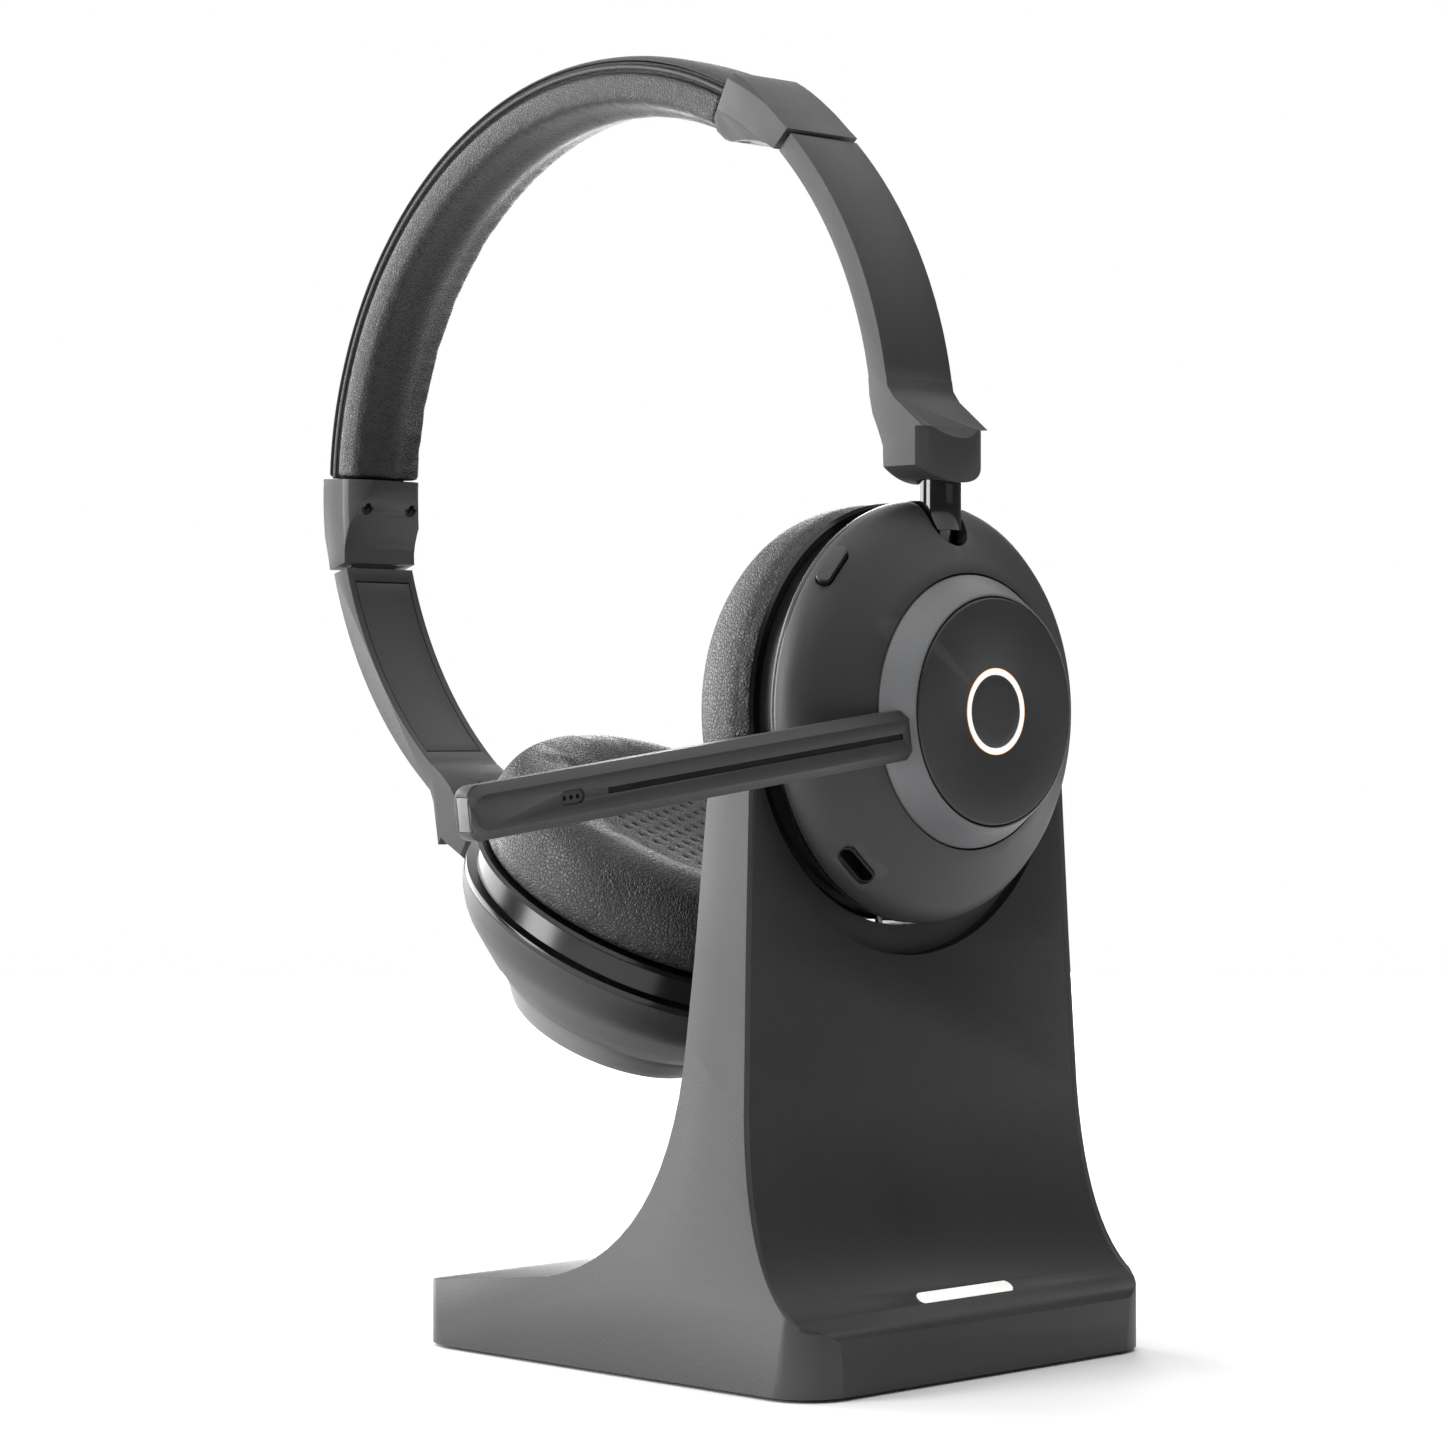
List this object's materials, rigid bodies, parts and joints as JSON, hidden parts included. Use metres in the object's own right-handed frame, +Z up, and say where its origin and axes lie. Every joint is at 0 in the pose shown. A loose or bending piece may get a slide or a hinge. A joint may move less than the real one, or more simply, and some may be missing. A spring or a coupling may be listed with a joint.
{
  "type": "office headset on charging stand",
  "caption": "Wireless on-ear office headset with a swinging microphone boom, padded headband and sliding arms, resting in the cradle of its charging stand.",
  "frame": {"origin": "centre of the stand's footprint, on the desk", "axes": "+Z up; -Y is the stand's front, where the cup's outer face points; the docked cup's axis lies along Y and the microphone boom points to -X"},
  "size_m": [0.1628, 0.1698, 0.2345],
  "materials": {
    "shell_plastic": "fine matte texture",
    "grey_plastic": "satin",
    "dark_plastic": "satin",
    "gloss_black": "polished",
    "black_leather": "pebbled grain",
    "speaker_cloth": "perforated",
    "steel": "brushed",
    "contact_metal": "dark plated",
    "circuit_board": "solder mask",
    "white_light": "translucent white",
    "rubber": "matte",
    "iron": "cast",
    "battery_foil": "foil wrapped"
  },
  "bodies": {
    "stand": {"stand_housing": "shell_plastic", "stand_front_panel": "shell_plastic", "stand_bottom_plate": "dark_plastic", "stand_rubber_mat": "rubber", "stand_weight": "iron", "stand_circuit_board": "circuit_board", "stand_usb_c_socket": "steel", "stand_light_bar": "white_light", "stand_charge_pins": "contact_metal", "stand_screws": "steel"},
    "near_cup": {"near_shell": "shell_plastic", "near_waist_ring": "gloss_black", "near_cushion_ring": "black_leather", "near_cushion": "black_leather", "near_cushion_mesh": "speaker_cloth", "near_speaker": "steel", "near_circuit_board": "circuit_board", "headset_usb_c_socket": "steel", "charge_contacts": "contact_metal", "near_disc": "dark_plastic", "call_light_ring": "white_light", "near_hinge_bracket": "steel", "near_hinge_pin": "steel"},
    "call_button": {"call_button": "gloss_black"},
    "side_button": {"side_button": "gloss_black"},
    "boom": {"boom_hub": "grey_plastic", "boom_bar": "shell_plastic", "boom_slot_insert": "dark_plastic", "boom_mic_grille": "dark_plastic", "boom_mic_capsule": "steel", "boom_tip_cap": "grey_plastic"},
    "near_post": {"near_post": "gloss_black"},
    "near_arm": {"near_arm": "shell_plastic", "near_arm_cover": "grey_plastic", "near_slide_strip": "steel"},
    "headband": {"band_cover": "black_leather", "band_carrier": "dark_plastic", "band_spring": "steel", "band_pad": "black_leather", "band_piping": "black_leather", "near_block_outer": "shell_plastic", "near_block_inner": "shell_plastic", "far_block_outer": "shell_plastic", "far_block_inner": "shell_plastic", "block_screws": "steel"},
    "far_arm": {"far_arm": "shell_plastic", "far_arm_cover": "grey_plastic", "far_slide_strip": "steel"},
    "far_post": {"far_post": "gloss_black"},
    "far_cup": {"far_shell": "shell_plastic", "far_waist_ring": "gloss_black", "far_cushion_ring": "black_leather", "far_cushion": "black_leather", "far_cushion_mesh": "speaker_cloth", "far_speaker": "steel", "battery_pack": "battery_foil", "far_disc": "dark_plastic", "far_trim_ring": "grey_plastic", "far_hinge_bracket": "steel", "far_hinge_pin": "steel"}
  },
  "joints": [
    {"name": "headset_lift", "type": "slide", "parent": "stand", "child": "near_cup", "axis": [0, 0, 1], "range_m": [0, 0.12]},
    {"name": "boom_swing", "type": "hinge", "parent": "near_cup", "child": "boom", "pos_m": [0, -0.047, 0.1133], "axis": [0, 1, 0], "range_deg": [-45, 225]},
    {"name": "call_button_press", "type": "slide", "parent": "near_cup", "child": "call_button", "axis": [0, 1, 0], "range_m": [0, 0.0004], "stiffness_N_per_m": 2500, "springref_m": -0.0004},
    {"name": "side_button_press", "type": "slide", "parent": "near_cup", "child": "side_button", "axis": [0.6396, 0.4847, -0.5966], "range_m": [0, 0.0005], "stiffness_N_per_m": 2500, "springref_m": -0.0003},
    {"name": "near_tilt", "type": "hinge", "parent": "near_cup", "child": "near_post", "pos_m": [0, -0.03765, 0.1368], "axis": [1, 0, 0], "range_deg": [0, 10]},
    {"name": "near_swivel", "type": "hinge", "parent": "near_post", "child": "near_arm", "pos_m": [0, -0.03765, 0.15], "axis": [0, 0, 1], "range_deg": [-20, 20]},
    {"name": "near_slider", "type": "slide", "parent": "near_arm", "child": "headband", "axis": [0, 0.8788, 0.4772], "range_m": [0, 0.02]},
    {"name": "far_slider", "type": "slide", "parent": "headband", "child": "far_arm", "axis": [0, 0.0087, -1], "range_m": [0, 0.02]},
    {"name": "far_swivel", "type": "hinge", "parent": "far_arm", "child": "far_post", "pos_m": [0, 0.06026, 0.07913], "axis": [0, 0.8746, 0.4848], "range_deg": [-20, 85]},
    {"name": "far_tilt", "type": "hinge", "parent": "far_post", "child": "far_cup", "pos_m": [0, 0.06026, 0.07913], "axis": [1, 0, 0], "range_deg": [0, 10]}
  ]
}
